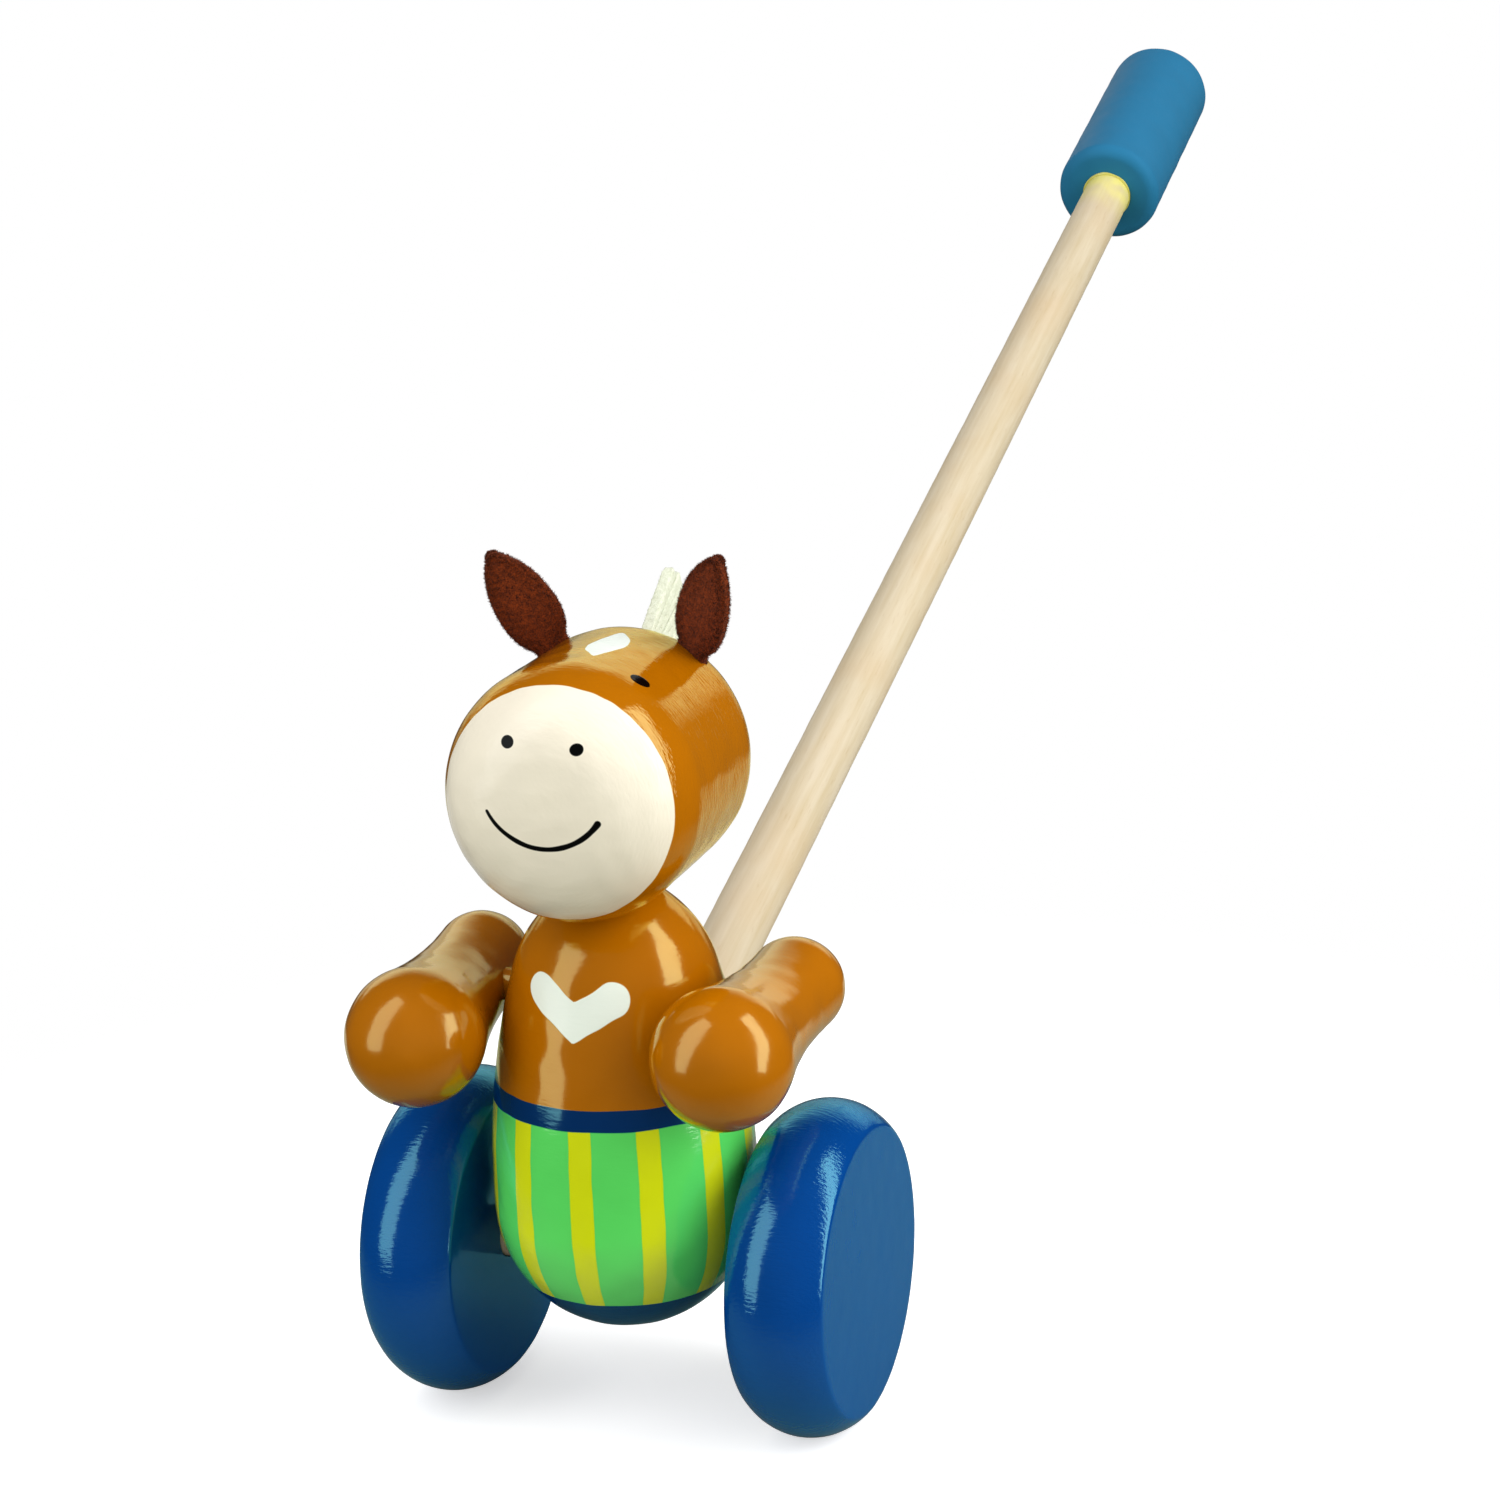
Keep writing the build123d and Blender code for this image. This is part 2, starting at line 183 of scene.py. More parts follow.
def gloss_lacquer(
    name, roughness, grain, comb, shine=None, colour=None, marks=None, combed=None, ior=1.85, coat_ior=1.1
):
    """Gloss lacquer over turned wood, as a dipped toy has it: clear reflections with combed edges.

    Wood fibres and tool marks leave ridges 0.7 mm apart, drawn out where the grain's scale is below
    1 and comb metres high; orange peel of 2.5 mm makes reflections waver, and blotches of 14 mm vary
    the colour's depth and the gloss. A thin clear coat in the shine colour tints what is reflected.
    Marks, if any, are painted by a function that takes the tree and returns the colour, the shine,
    the paint's relief and where it is satin. Combed, if any, names the point attribute that says
    where the ridges are.
    """
    material, tree, shader = new_material(name)
    place = add(tree, "TexCoord").outputs["Object"]
    along_grain = add(tree, "Mapping", {"Vector": place, "Scale": grain}).outputs[0]
    fibres = add(tree, "TexNoise", {"Vector": along_grain, "Scale": 1 / 0.0007, "Detail": 2})
    peel = add(tree, "TexNoise", {"Vector": place, "Scale": 1 / 0.0025, "Detail": 1})
    blotch = add(tree, "TexNoise", {"Vector": place, "Scale": 1 / 0.014, "Detail": 2})
    depth = add(tree, "MapRange", {"Value": blotch.outputs[0], "To Min": 0.93, "To Max": 1.07})
    ridges = {"Height": fibres.outputs[0], "Distance": comb}
    if combed:
        ridges["Strength"] = add(tree, "Attribute", attribute_name=combed).outputs["Fac"]
    relief = add(tree, "Bump", ridges).outputs[0]
    relief = add(tree, "Bump", {"Height": peel.outputs[0], "Distance": 0.00002, "Normal": relief}).outputs[0]
    gloss = {"Value": blotch.outputs[0], "To Min": 0.75 * roughness, "To Max": 1.25 * roughness}
    gloss = add(tree, "MapRange", gloss).outputs[0]
    if marks:
        # Brushed paint stands 0.05 mm proud, and where it is satin it reflects less and less clearly
        ground, gleam, paint, satin = marks(tree)
        relief = add(tree, "Bump", {"Height": paint, "Distance": 0.00005, "Normal": relief}).outputs[0]
        gloss = add(tree, "Mix", {0: satin, 2: gloss, 3: 0.33}).outputs[0]
        level = add(tree, "MapRange", {"Value": satin, "To Min": 0.5, "To Max": 0.2}).outputs[0]
        tree.links.new(level, shader.inputs["Specular IOR Level"])
        tree.links.new(gleam, shader.inputs["Coat Tint"])
    else:
        ground = linear(colour)
        shader.inputs["Coat Tint"].default_value = linear(shine)
    shade = add(tree, "HueSaturation", {"Color": ground, "Value": depth.outputs[0]}).outputs[0]
    tree.links.new(shade, shader.inputs["Base Color"])
    tree.links.new(gloss, shader.inputs["Roughness"])
    tree.links.new(relief, shader.inputs["Normal"])
    tree.links.new(relief, shader.inputs["Coat Normal"])
    shader.inputs["IOR"].default_value = ior
    shader.inputs["Coat Weight"].default_value = 1.0
    shader.inputs["Coat IOR"].default_value = coat_ior
    return material


WHEEL_FACE_RADIUS, WHEEL_SOCKET_DEPTH = 34.5, 15.0
AXLE_ROOM = 0.05
FACE_RIDGES = 0.04  # how much of the tread's ridges the sanded faces keep
COOL_SHINE = "#A2FAFA"

axle_low, axle_high = box_mm("wheel_axle")
axle_radius = (axle_high[2] - axle_low[2]) / 2
# Navy lacquer is deep blue, and the tread's tool marks comb its reflections into streaks
navy_lacquer = gloss_lacquer(
    "navy_gloss_lacquer",
    roughness=0.13,
    grain=(0.2, 1, 1),
    comb=0.00009,
    shine=COOL_SHINE,
    colour="#003F8C",
    combed="tread",
)
for side, node in ((1, "left_wheel"), (-1, "right_wheel")):
    low, high = box_mm(node)
    width = high[0] - low[0]
    wheel_radius = (high[2] - low[2]) / 2
    inner_x = low[0] if side > 0 else high[0]
    crown = wheel_radius - WHEEL_FACE_RADIUS
    crown_radius = ((width / 2) ** 2 + crown**2) / (2 * crown)
    crown_centre = (width / 2, wheel_radius - crown_radius)
    swing = np.degrees(np.arcsin(width / 2 / crown_radius))
    socket = axle_radius + AXLE_ROOM
    wheel_profile = soften(
        [
            [(WHEEL_SOCKET_DEPTH, 0), (WHEEL_SOCKET_DEPTH, socket), (0, socket)],
            arc(crown_centre, crown_radius, 90 + swing, 90 - swing),
            [(width, 0)],
        ],
        rounding=0.5,
        ring_gap=1.2,
    )
    hub = np.array([inner_x, 0, (low[2] + high[2]) / 2])
    wheel = turned(
        node + "_lacquered", wheel_profile, hub, (side, 0, 0), facets=240, wave=0.012, seed=3 + side
    )
    from_hub = np.linalg.norm((points_of(wheel) - hub)[:, 1:], axis=1)
    keep_on_points(wheel, "tread", np.clip(from_hub - WHEEL_FACE_RADIUS, FACE_RIDGES, 1))
    wheel.data.materials.append(navy_lacquer)
    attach(wheel, "wheelset")
    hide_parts(node)


# Dowels: plain sanded beech rods, cut to length with broken edges. The wheel axle shows as bare
# wood beside the torso, and the neck dowel is glued in out of sight.
def bare_wood(name, turn, soak=None):
    """Sanded pale wood without finish: faint long grain 1.1 mm wide, pale clouds, a soft sheen.

    The grain runs along X of the turned coordinates, twenty times as long as it is wide. A soak is
    the name of a point attribute that says how far yellow glue has soaked in.
    """
    material, tree, shader = new_material(name)
    place = add(tree, "TexCoord").outputs["Object"]
    lined = add(tree, "Mapping", {"Vector": place, "Rotation": turn}, vector_type="TEXTURE").outputs[0]
    drawn = add(tree, "Mapping", {"Vector": lined, "Scale": (0.05, 1, 1)}).outputs[0]
    flecked = add(tree, "Mapping", {"Vector": lined, "Scale": (0.12, 1, 1)}).outputs[0]
    grain = add(tree, "TexNoise", {"Vector": drawn, "Scale": 1 / 0.0022, "Detail": 4, "Roughness": 0.6})
    fleck = add(tree, "TexNoise", {"Vector": flecked, "Scale": 1 / 0.0007, "Detail": 2})
    cloud = add(tree, "TexNoise", {"Vector": lined, "Scale": 1 / 0.03, "Detail": 3})
    ramp = add(tree, "ValToRGB", {"Fac": grain.outputs[0]})
    ramp.color_ramp.elements[0].position = 0.3
    ramp.color_ramp.elements[0].color = linear("#C2B190")
    ramp.color_ramp.elements[1].position = 0.65
    ramp.color_ramp.elements[1].color = linear("#CDBFA5")
    warm = {"Value": cloud.outputs[0], "From Min": 0.45, "From Max": 0.75, "To Max": 0.5}
    warm = add(tree, "MapRange", warm).outputs[0]
    wood = {0: warm, 6: ramp.outputs[0], 7: linear("#C6AC86")}
    wood = add(tree, "Mix", wood, data_type="RGBA").outputs[2]
    speck = {"Value": fleck.outputs[0], "From Min": 0.62, "From Max": 0.8, "To Max": 0.3}
    speck = add(tree, "MapRange", speck).outputs[0]
    wood = add(tree, "Mix", {0: speck, 6: wood, 7: linear("#A88A5F")}, data_type="RGBA").outputs[2]
    if soak:
        soaked = add(tree, "Attribute", attribute_name=soak).outputs["Fac"]
        wood = {0: soaked, 6: wood, 7: linear("#E6DC74")}
        wood = add(tree, "Mix", wood, data_type="RGBA").outputs[2]
    tree.links.new(wood, shader.inputs["Base Color"])
    relief = add(tree, "Bump", {"Height": grain.outputs[0], "Distance": 0.00006})
    tree.links.new(relief.outputs[0], shader.inputs["Normal"])
    shader.inputs["Roughness"].default_value = 0.62
    return material


dowel_wood = bare_wood("sanded_beech_dowel", (0, 0, 0))
for node in ("wheel_axle", "neck_dowel"):
    frame["nodes"][node].data.materials.clear()
    frame["nodes"][node].data.materials.append(dowel_wood)


# Torso: one turned peg, dipped tan and then painted by hand: green with yellow stripes below a navy
# belt, a navy foot and a white heart on the chest. Two axles run in bores through it, and the push
# stick is glued into a slanting hole in its back.
def bore(piece, radius, start, end):
    """Drill a round hole of that radius into a piece, from start to end."""
    run = np.subtract(end, start)
    depth = np.linalg.norm(run)
    profile = np.array([(0, 0), (0, radius), (depth, radius), (depth, 0)])
    rod = turned("drill", profile, start, run, facets=96, wave=0)
    cut = piece.modifiers.new("drill", "BOOLEAN")
    cut.object = rod
    settled = piece.evaluated_get(bpy.context.evaluated_depsgraph_get())
    piece.data = bpy.data.meshes.new_from_object(settled)
    piece.modifiers.clear()
    bpy.data.objects.remove(rod)


def painted(tree, name, under, over):
    """Cover a colour and its shine with others inside a painted area, whose edge is 0.2 mm soft.

    The attribute of that name says how many millimetres a point lies inside; outside is below 0.
    """
    inside = add(tree, "Attribute", attribute_name=name).outputs["Fac"]
    cover = add(tree, "MapRange", {"Value": inside, "From Min": -0.1, "From Max": 0.1}).outputs[0]
    layers = [{0: cover, 6: low, 7: high} for low, high in zip(under, over)]
    return [add(tree, "Mix", layer, data_type="RGBA").outputs[2] for layer in layers], cover


BELLY_STRAIGHT = 5.2
SHOULDER_RADIUS, SHOULDER_HEIGHT = 24.2, 88.7
NECK_SEAT_RADIUS = 10.5
RUNNING_ROOM, BORE_OVERRUN = 0.08, 2.0
BELT_LOW, BELT_HIGH = 83.4, 88.4
FOOT_PAINT_TOP = 38.8
STRIPES, STRIPE_WIDTH, STRIPE_TURN = 12, 10.3, 4.0  # the width and the turn are in degrees
HEART_MIDDLE = np.array([0.2, 108.2])
HEART_LOBE = np.array([8.65, 5.4])
HEART_HALF_WIDTH, HEART_TILT = 3.9, 0.055
BRUSH_WAVER = 0.05
FAR_OUTSIDE = -9.0

torso_low, torso_high = box_mm("torso")
belly_radius = (torso_high[0] - torso_low[0]) / 2
torso_y = (torso_low[1] + torso_high[1]) / 2
foot_z, neck_z = torso_low[2], torso_high[2]
bowl_z = foot_z + belly_radius
taper_z = bowl_z + BELLY_STRAIGHT
shoulder_z = foot_z + SHOULDER_HEIGHT
inset, rise = belly_radius - SHOULDER_RADIUS, shoulder_z - taper_z
flank_curve = (inset**2 + rise**2) / (2 * inset)
flank_end = np.degrees(np.arccos(rise / flank_curve))
dome_run = np.array([neck_z - shoulder_z, NECK_SEAT_RADIUS - SHOULDER_RADIUS])
dome_inward = -np.array([np.cos(np.radians(flank_end)), np.sin(np.radians(flank_end))])
dome_radius = dome_run @ dome_run / (2 * dome_run @ dome_inward)
dome_centre = np.array([shoulder_z, SHOULDER_RADIUS]) + dome_radius * dome_inward
dome_end = np.degrees(np.arctan2(NECK_SEAT_RADIUS - dome_centre[1], neck_z - dome_centre[0]))
torso_profile = soften(
    [
        arc((bowl_z, 0), belly_radius, 180, 90),
        arc((taper_z, belly_radius - flank_curve), flank_curve, 90, flank_end),
        arc(dome_centre, dome_radius, flank_end, dome_end),
        [(neck_z, 0)],
    ],
    rounding=0.2,
    ring_gap=0.7,
)
torso = turned("torso_painted", torso_profile, (0, torso_y, 0), (0, 0, 1), facets=300, seed=11)

joint_at = {joint["name"]: 1000 * np.array(joint["pos_m"]) for joint in frame["joints"]}
shoulder_low, shoulder_high = box_mm("shoulder_axle")
shoulder_axle_radius = (shoulder_high[2] - shoulder_low[2]) / 2
across = np.array([belly_radius + BORE_OVERRUN, 0, 0])
for joint, rod_radius in (("wheel_roll", axle_radius), ("arm_swing", shoulder_axle_radius)):
    bore(torso, rod_radius + RUNNING_ROOM, joint_at[joint] - across, joint_at[joint] + across)
torso.data.set_sharp_from_angle(angle=np.radians(35))

at = points_of(torso)
round_torso = np.degrees(np.arctan2(at[:, 0], torso_y - at[:, 1]))
torso_out = np.hypot(at[:, 0], at[:, 1] - torso_y)
brush = BRUSH_WAVER * ripple(at, wavelength=9, seed=12)
pitch = 360 / STRIPES
from_stripe = np.abs((round_torso - STRIPE_TURN + pitch / 2) % pitch - pitch / 2)
keep_on_points(torso, "stripe", np.radians(STRIPE_WIDTH / 2 - from_stripe) * torso_out + brush)
belt_middle = (BELT_HIGH + BELT_LOW) / 2
belt = (BELT_HIGH - BELT_LOW) / 2 - np.abs(at[:, 2] - belt_middle)
keep_on_points(torso, "belt_and_foot", np.maximum(belt, FOOT_PAINT_TOP - at[:, 2]) + brush)
keep_on_points(torso, "tan_dip", at[:, 2] - belt_middle)
# The heart's halves are slanting bands with a round upper end, mirrored at its middle line
on_chest = at[:, [0, 2]] - HEART_MIDDLE
on_chest[:, 1] += HEART_TILT * on_chest[:, 0]
on_chest[:, 0] = np.abs(on_chest[:, 0])
up_lobe = np.minimum(on_chest @ HEART_LOBE / (HEART_LOBE @ HEART_LOBE), 1)
from_lobe = np.linalg.norm(on_chest - up_lobe[:, None] * HEART_LOBE, axis=1)
heart = np.where(at[:, 1] < torso_y, HEART_HALF_WIDTH - from_lobe, FAR_OUTSIDE)
keep_on_points(torso, "heart", heart + 3 * brush)

# Each finish is a colour and the tint of its shine: tan lacquer gleams warm, and navy cool
TAN, WARM_SHINE, CLEAR_SHINE = "#AE6400", "#FFFFB4", "#FFFFFF"
GREEN, YELLOW = "#5BDE62", "#D8E200"
YELLOW_LAPS = ((0.42, GREEN), (0.5, "#8AD637"), (0.58, "#C6DB06"))
TAN_FINISH = linear(TAN), linear(WARM_SHINE)
NAVY_FINISH = linear("#002A63"), linear(COOL_SHINE)
WHITE_FINISH = linear("#E9F2E7"), linear(CLEAR_SHINE)


def torso_marks(tree):
    """Stripes with the lime lap line where yellow overlies green, then tan, belt, foot and heart."""
    inside = add(tree, "Attribute", attribute_name="stripe").outputs["Fac"]
    over_edge = add(tree, "MapRange", {"Value": inside, "From Min": -0.6, "From Max": 0.6})
    lap = add(tree, "ValToRGB", {"Fac": over_edge.outputs[0]})
    lap.color_ramp.elements[0].position = 0.3
    lap.color_ramp.elements[0].color = linear(GREEN)
    lap.color_ramp.elements[1].position = 0.7
    lap.color_ramp.elements[1].color = linear(YELLOW)
    for position, colour in YELLOW_LAPS:
        lap.color_ramp.elements.new(position).color = linear(colour)
    finish, _ = painted(tree, "tan_dip", (lap.outputs[0], linear(CLEAR_SHINE)), TAN_FINISH)
    finish, trim = painted(tree, "belt_and_foot", finish, NAVY_FINISH)
    finish, heart = painted(tree, "heart", finish, WHITE_FINISH)
    relief = add(tree, "Math", {0: trim, 1: heart}, operation="MAXIMUM").outputs[0]
    return *finish, relief, heart


torso.data.materials.append(
    gloss_lacquer(
        "torso_gloss_lacquers", roughness=0.13, grain=(0.25, 0.25, 1), comb=0.00003, marks=torso_marks
    )
)
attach(torso, "figure")
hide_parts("torso")


# Head: a turned barrel that lies along the nose, dipped tan, with the muzzle end dipped cream.
# Nostrils, smile and eyes are brushed in black, and a white diamond lies on the forehead. It stands
# on the torso on a hidden dowel, glued on a few degrees towards the pony's left.
HEAD_RADIUS, HEAD_LENGTH, HEAD_REACH = 30.0, 72.9, 40.3
HEAD_END_RADIUS, NOSE_CORNER, NAPE_CORNER = 95.0, 20.5, 17.0
HEAD_TURN = np.radians(3.2)
HEAD_SUNK = 1.0
MUZZLE_EDGE = 29.75
NOSTRILS, NOSTRIL_RADIUS, NOSTRIL_SLOPE = ((-8.2, 15.9), (8.05, 14.8)), 1.55, 1.15
SMILE_CENTRE, SMILE_RADIUS, SMILE_HALF_WIDTH = (0.1, 7.8), 15.5, 0.58
SMILE_START, SMILE_END = np.radians(-61), np.radians(53)
SMILE_TURNS = (SMILE_START, SMILE_START + 0.5, SMILE_END - 0.15, SMILE_END)
SMILE_SWELL = (0.65, 0.95, 1, 1.3)
EYES, EYE_RADIUS = ((16.9, 32.0), (15.5, -29.0)), 2.4  # along the head, and degrees from its top
BLAZE_CENTRE = np.array([2.8, 1.0])
BLAZE_DIAGONALS = np.array([(4.2, -2.35), (0.67, 11.4)])
BLAZE_BULGE, BLAZE_REACH = 1.3, 4.0
CREAM_FINISH = linear("#F0E7D4"), linear(CLEAR_SHINE)
BLACK_FINISH = linear("#1C1B18"), linear("#7A8084")

head_centre = np.array([0, torso_y, neck_z + HEAD_RADIUS - HEAD_SUNK])
ahead = np.array([np.sin(HEAD_TURN), -np.cos(HEAD_TURN), 0])
leftward = np.array([np.cos(HEAD_TURN), np.sin(HEAD_TURN), 0])
rear_dome = HEAD_REACH - HEAD_LENGTH + HEAD_END_RADIUS
nose_dome = HEAD_REACH - HEAD_END_RADIUS
nape_out, nose_out = HEAD_RADIUS - NAPE_CORNER, HEAD_RADIUS - NOSE_CORNER
nape_along = rear_dome - np.sqrt((HEAD_END_RADIUS - NAPE_CORNER) ** 2 - nape_out**2)
nose_along = nose_dome + np.sqrt((HEAD_END_RADIUS - NOSE_CORNER) ** 2 - nose_out**2)
nape_start = np.degrees(np.arctan2(nape_out, nape_along - rear_dome))
nose_end = np.degrees(np.arctan2(nose_out, nose_along - nose_dome))
head_profile = soften(
    [
        arc((rear_dome, 0), HEAD_END_RADIUS, 180, nape_start),
        arc((nape_along, nape_out), NAPE_CORNER, nape_start, 90),
        arc((nose_along, nose_out), NOSE_CORNER, 90, nose_end),
        arc((nose_dome, 0), HEAD_END_RADIUS, nose_end, 0),
    ],
    rounding=0.2,
    ring_gap=0.55,
)
head = turned("head_painted", head_profile, head_centre, ahead, facets=320, seed=21)
at = points_of(head)
at[:, 2] = np.maximum(at[:, 2], neck_z)
head.data.vertices.foreach_set("co", 0.001 * at.ravel())

from_centre = at - head_centre
along, left, up = from_centre @ ahead, from_centre @ leftward, from_centre[:, 2]
brush = BRUSH_WAVER * ripple(at, wavelength=6, seed=22)
keep_on_points(head, "muzzle", along - MUZZLE_EDGE + brush)
in_front = np.where(along > MUZZLE_EDGE, 0, FAR_OUTSIDE)
dots = [NOSTRIL_RADIUS - np.hypot(left - x, NOSTRIL_SLOPE * (up - z)) + in_front for x, z in NOSTRILS]
for eye_along, eye_turn in EYES:
    eye_turn = np.radians(eye_turn)
    eye = np.array([eye_along, HEAD_RADIUS * np.sin(eye_turn), HEAD_RADIUS * np.cos(eye_turn)])
    dots.append(EYE_RADIUS - np.linalg.norm(np.stack([along, left, up], 1) - eye, axis=1))
from_smile = np.stack([left, up], 1) - SMILE_CENTRE
smile_turn = np.clip(np.arctan2(from_smile[:, 0], -from_smile[:, 1]), SMILE_START, SMILE_END)
from_smile -= SMILE_RADIUS * np.stack([np.sin(smile_turn), -np.cos(smile_turn)], 1)
smile = SMILE_HALF_WIDTH * np.interp(smile_turn, SMILE_TURNS, SMILE_SWELL)
smile -= np.linalg.norm(from_smile, axis=1)
keep_on_points(head, "black_brushwork", np.maximum.reduce([*dots, smile + in_front]) + 0.4 * brush)
on_forehead = np.stack([left, along], 1) - BLAZE_CENTRE
skewed = np.abs(on_forehead @ np.linalg.inv(BLAZE_DIAGONALS)) ** BLAZE_BULGE
diamond = BLAZE_REACH * (1 - skewed.sum(1) ** (1 / BLAZE_BULGE))
keep_on_points(head, "blaze", np.where(up > 0, diamond, FAR_OUTSIDE) + 1.5 * brush)


def head_marks(tree):
    """Tan dip, then the cream muzzle, the white diamond and the black brushwork."""
    finish, muzzle = painted(tree, "muzzle", TAN_FINISH, CREAM_FINISH)
    finish, blaze = painted(tree, "blaze", finish, WHITE_FINISH)
    finish, black = painted(tree, "black_brushwork", finish, BLACK_FINISH)
    marks = add(tree, "Math", {0: blaze, 1: black}, operation="MAXIMUM").outputs[0]
    marks = add(tree, "Math", {0: marks, 1: muzzle}, operation="MAXIMUM").outputs[0]
    return *finish, marks, marks


head.data.materials.append(
    gloss_lacquer(
        "head_gloss_lacquers", roughness=0.08, grain=(0.25, 1, 0.25), comb=0.00009, marks=head_marks
    )
)
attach(head, "figure")
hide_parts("head")


# Ears: leaves die-cut from 3 mm wool felt, with a straight root glued into a saw cut in the head.
# The felt is dense and dark red-brown, and short fibres stand off its faces and cut edges.
def felt_fibres(points, normals, count, length, seed):
    """Short fibres on a surface: each a bent three-sided spike, 0.09 mm thick at its foot.

    A fibre starts at a random point, leans off its normal by a random part, and has three corners at
    its foot, three at its bend and one at its tip.
    """
    foot_radius, bend_radius, foot_depth, to_bend = 0.045, 0.035, 0.1, 0.55
    dice = np.random.default_rng(seed)
    chosen = dice.choice(len(points), count)
    foot, rise = points[chosen], normals[chosen] + 0.75 * dice.normal(size=(count, 3))
    rise /= np.linalg.norm(rise, axis=1)[:, None]
    curl = np.cross(rise, dice.normal(size=(count, 3)))
    curl /= np.linalg.norm(curl, axis=1)[:, None]
    reach = length * dice.uniform(0.4, 1.2, (count, 1))
    bend = foot + to_bend * reach * rise
    tip = bend + (1 - to_bend) * reach * (0.6 * rise + 0.8 * curl)
    turn = np.radians([0, 120, 240])
    ring = np.cos(turn)[:, None] * curl[:, None] + np.sin(turn)[:, None] * np.cross(rise, curl)[:, None]
    feet = foot[:, None] - foot_depth * rise[:, None] + foot_radius * ring
    bends = bend[:, None] + bend_radius * ring
    spikes = np.concatenate([feet, bends, tip[:, None]], 1)
    start = spikes.shape[1] * np.arange(count)[:, None]
    sides = [(0, 1, 4, 3), (1, 2, 5, 4), (2, 0, 3, 5)]
    quads = np.concatenate([start + side for side in sides])
    caps = np.concatenate([start + cap for cap in [(3, 4, 6), (4, 5, 6), (5, 3, 6), (0, 2, 1)]])
    return spikes.reshape(-1, 3), quads, caps


def slab(name, sections, relief, fibres, fibre_length, seed):
    """Felt slab from a stack of closed sections, given as an array (section, corner, xyz).

    The sections are joined in order and both ends are closed. Each point is moved by relief times a
    ripple of 0.9 mm along the surface's normal, and fibres are added.
    """
    rows, corners = sections.shape[:2]
    round_it = np.roll(sections, -1, 1) - np.roll(sections, 1, 1)
    normals = np.cross(round_it, np.gradient(sections, axis=0)).reshape(-1, 3)
    normals /= np.maximum(np.linalg.norm(normals, axis=1), 1e-9)[:, None]
    skin = sections.reshape(-1, 3)
    skin = skin + relief * ripple(skin, wavelength=0.9, seed=seed)[:, None] * normals
    ends = skin.reshape(rows, corners, 3)[[0, -1]].mean(1)
    spikes, spike_sides, spike_caps = felt_fibres(skin, normals, fibres, fibre_length, seed)
    shift = len(skin) + len(ends)
    faces = [*closed_skin(rows, corners), spike_sides + shift, spike_caps + shift]
    return mesh_piece(name, np.vstack([skin, ends, spikes]), faces)


def wool_felt(name, dark, light, sheen):
    """Pressed wool felt: matt, mottled by clumps of 0.6 mm and single fibres of 0.15 mm."""
    material, tree, shader = new_material(name)
    place = add(tree, "TexCoord").outputs["Object"]
    clumps = add(tree, "TexNoise", {"Vector": place, "Scale": 1 / 0.0012, "Detail": 4, "Roughness": 0.75})
    strands = add(tree, "TexNoise", {"Vector": place, "Scale": 1 / 0.0003, "Detail": 2})
    blend = add(tree, "Mix", {0: 0.45, 2: clumps.outputs[0], 3: strands.outputs[0]}).outputs[0]
    ramp = add(tree, "ValToRGB", {"Fac": blend})
    ramp.color_ramp.elements[0].position = 0.34
    ramp.color_ramp.elements[0].color = linear(dark)
    ramp.color_ramp.elements[1].position = 0.66
    ramp.color_ramp.elements[1].color = linear(light)
    tree.links.new(ramp.outputs[0], shader.inputs["Base Color"])
    relief = add(tree, "Bump", {"Height": blend, "Distance": 0.0003, "Strength": 0.8})
    tree.links.new(relief.outputs[0], shader.inputs["Normal"])
    shader.inputs["Roughness"].default_value = 0.95
    shader.inputs["Specular IOR Level"].default_value = 0.2
    shader.inputs["Sheen Weight"].default_value = sheen
    shader.inputs["Sheen Roughness"].default_value = 0.5
    return material


def bezier(points, share):
    """Cubic curve through its end points: the usual blend of four points at each share from 0 to 1."""
    share = share[:, None]
    weights = [(1 - share) ** 3, 3 * (1 - share) ** 2 * share, 3 * (1 - share) * share**2, share**3]
    return sum(weight * np.array(point, float) for weight, point in zip(weights, points))


def superellipse(corners, power):
    """Round-cornered square of half-width 1: (cos t, sin t), each raised to 2 / power, sign kept."""
    turn = np.linspace(0, 2 * np.pi, corners, endpoint=False)
    unit = np.stack([np.cos(turn), np.sin(turn)], 1)
    return np.sign(unit) * np.abs(unit) ** (2 / power)


FELT_THICKNESS = 3.0
EAR_LENGTH, EAR_WIDTH, EAR_WIDEST, EAR_TIP = 31.9, 14.2, 0.43, 2.0
EAR_ROOT_WIDTH, EAR_ROOT_RISE, EAR_TAB, EAR_SUNK = 8.4, 2.0, 5.0, 2.5
EAR_ROUND_HEAD, EAR_BEHIND_NECK = np.radians(36.0), 17.2
EAR_SPLAY, EAR_LEAN, EAR_TWIST = np.radians(23.3), np.radians(21.5), np.radians(20.0)

# The leaf's edge, as half-width and height: root, lower curve, upper curve, then the rounded tip,
# whose centre is the highest point of the middle line still a tip's radius from the upper curve
half, widest = EAR_WIDTH / 2, EAR_WIDEST * EAR_LENGTH
to_tip = EAR_LENGTH - widest
root_half, root_top = EAR_ROOT_WIDTH / 2, EAR_SUNK + EAR_ROOT_RISE
upper_edge = [(half, widest), (half, widest + 0.44 * to_tip), (0.62 * half, widest + 0.77 * to_tip)]
upper_edge = bezier([*upper_edge, (0, EAR_LENGTH)], np.linspace(0, 1, 400))
tip_heights = np.linspace(widest, EAR_LENGTH, 400)
tip_room = np.hypot(upper_edge[:, 0, None], upper_edge[:, 1, None] - tip_heights).min(0)
tip_centre = tip_heights[tip_room >= EAR_TIP].max()
touch = np.hypot(upper_edge[:, 0], upper_edge[:, 1] - tip_centre).argmin()
